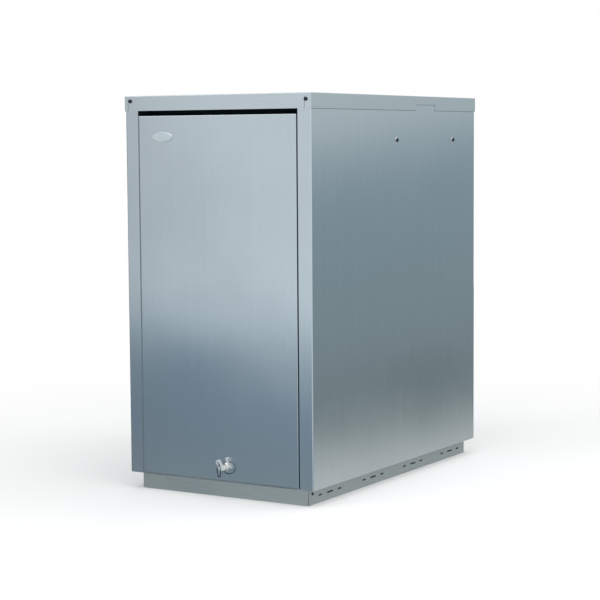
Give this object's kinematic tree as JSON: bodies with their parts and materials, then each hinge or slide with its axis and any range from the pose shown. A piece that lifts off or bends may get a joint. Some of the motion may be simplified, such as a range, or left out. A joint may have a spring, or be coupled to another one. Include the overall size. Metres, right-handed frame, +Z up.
{
  "type": "gas pool heater",
  "caption": "Outdoor cased gas heater for pool water: brushed steel cabinet on a plinth, a key-locked hung door, and a burner, drum, fan and plate exchanger inside.",
  "frame": {"origin": "on the ground, under the middle of the cabinet", "axes": "+X to the right of someone facing the door, +Y from the door to the rear, +Z up"},
  "size_m": [0.4954, 0.8668, 0.9],
  "materials": {
    "stainless_panel": "brushed stainless sheet",
    "stainless_door": "brushed stainless sheet",
    "stainless_lid": "brushed stainless sheet",
    "galvanised": "galvanised sheet",
    "bright_screw": "bright zinc",
    "badge_plate": "satin blank plate",
    "lock_metal": "polished nickel",
    "key_metal": "nickel plated",
    "drum_steel": "pickled stainless",
    "cast_alloy": "sand cast",
    "fan_alloy": "die cast",
    "black_plastic": "moulded",
    "motor_black": "black paint",
    "ceramic_white": "glazed ceramic",
    "copper": "copper tube",
    "brass": "machined brass",
    "grey_pvc": "grey pvc",
    "white_plastic": "white polypropylene",
    "pump_red": "red paint",
    "vessel_red": "red paint",
    "gas_yellow": "yellow paint",
    "control_grey": "grey powder coat",
    "red_plastic": "moulded",
    "amber_lens": "lens"
  },
  "bodies": {
    "cabinet": {"plinth_front": "galvanised", "plinth_rear": "galvanised", "plinth_left": "galvanised", "plinth_right": "galvanised", "base_tray": "galvanised", "side_panel_left": "stainless_panel", "side_panel_right": "stainless_panel", "rear_panel_upper": "stainless_panel", "rear_panel_lower": "stainless_panel", "lid": "stainless_lid", "header_rail": "galvanised", "hook_rod": "bright_screw", "lid_screws": "bright_screw", "side_screws": "bright_screw", "rear_screws": "bright_screw", "plinth_screws": "bright_screw", "drum_cradle": "galvanised", "heat_exchanger": "drum_steel", "burner_door": "cast_alloy", "burner_tube": "drum_steel", "ignition_electrode": "ceramic_white", "fan_housing": "fan_alloy", "fan_motor": "motor_black", "gas_valve": "fan_alloy", "gas_pipe": "gas_yellow", "gas_cock": "brass", "flue_duct": "white_plastic", "flue_terminal": "stainless_panel", "condensate_trap": "white_plastic", "condensate_pipe": "white_plastic", "pump_housing": "cast_alloy", "pump_motor": "pump_red", "plate_exchanger": "drum_steel", "primary_flow_pipe": "copper", "primary_return_pipe": "copper", "pool_inlet_pipe": "grey_pvc", "pool_outlet_pipe": "grey_pvc", "flow_switch": "black_plastic", "expansion_vessel": "vessel_red", "relief_valve": "brass", "pressure_gauge": "black_plastic", "control_box": "control_grey", "indicator_lamp": "amber_lens", "cable_gland": "black_plastic"},
    "door": {"door_panel": "stainless_door", "door_hooks": "galvanised", "badge": "badge_plate", "lock_barrel": "lock_metal", "lock_nut": "lock_metal"},
    "lock": {"lock_plug": "lock_metal", "lock_cam": "bright_screw", "key": "key_metal"},
    "ring": {"key_ring": "bright_screw"},
    "fan_wheel": {"fan_impeller": "fan_alloy"},
    "pump_wheel": {"pump_impeller": "black_plastic"},
    "gas_lever": {"gas_cock_lever": "gas_yellow"},
    "relief_head": {"relief_cap": "red_plastic"},
    "thermostat": {"control_knob": "black_plastic"},
    "rocker": {"power_switch": "red_plastic"},
    "reset": {"reset_button": "red_plastic"}
  },
  "joints": [
    {"name": "door_swing", "type": "hinge", "parent": "cabinet", "child": "door", "pos_m": [0, -0.366, 0.846], "axis": [-1, 0, 0], "range_deg": [0, 60]},
    {"name": "lock_turn", "type": "hinge", "parent": "door", "child": "lock", "pos_m": [0.0162, -0.4, 0.0715], "axis": [0, 1, 0], "range_deg": [0, 90]},
    {"name": "ring_swing", "type": "hinge", "parent": "lock", "child": "ring", "pos_m": [0.01273, -0.421, 0.07932], "axis": [0.766, -0.6428, 0], "range_deg": [-25, 25]},
    {"name": "fan_spin", "type": "hinge", "parent": "cabinet", "child": "fan_wheel", "pos_m": [-0.053, -0.2, 0.7], "axis": [0, 1, 0], "continuous": true},
    {"name": "pump_spin", "type": "hinge", "parent": "cabinet", "child": "pump_wheel", "pos_m": [0.12, -0.11, 0.385], "axis": [0, 1, 0], "continuous": true},
    {"name": "gas_cock_turn", "type": "hinge", "parent": "cabinet", "child": "gas_lever", "pos_m": [-0.205, 0.32, 0.38], "axis": [0, 0, 1], "range_deg": [0, 90]},
    {"name": "relief_cap_turn", "type": "hinge", "parent": "cabinet", "child": "relief_head", "pos_m": [0, -0.04, 0.77], "axis": [0, 0, 1], "range_deg": [0, 90]},
    {"name": "knob_turn", "type": "hinge", "parent": "cabinet", "child": "thermostat", "pos_m": [-0.125, -0.335, 0.83], "axis": [0, 1, 0], "range_deg": [0, 270]},
    {"name": "switch_rock", "type": "hinge", "parent": "cabinet", "child": "rocker", "pos_m": [0.12, -0.324, 0.83], "axis": [1, 0, 0], "range_deg": [0, 12]},
    {"name": "reset_push", "type": "slide", "parent": "cabinet", "child": "reset", "axis": [0, 1, 0], "range_m": [0, 0.003], "stiffness_N_per_m": 300}
  ]
}
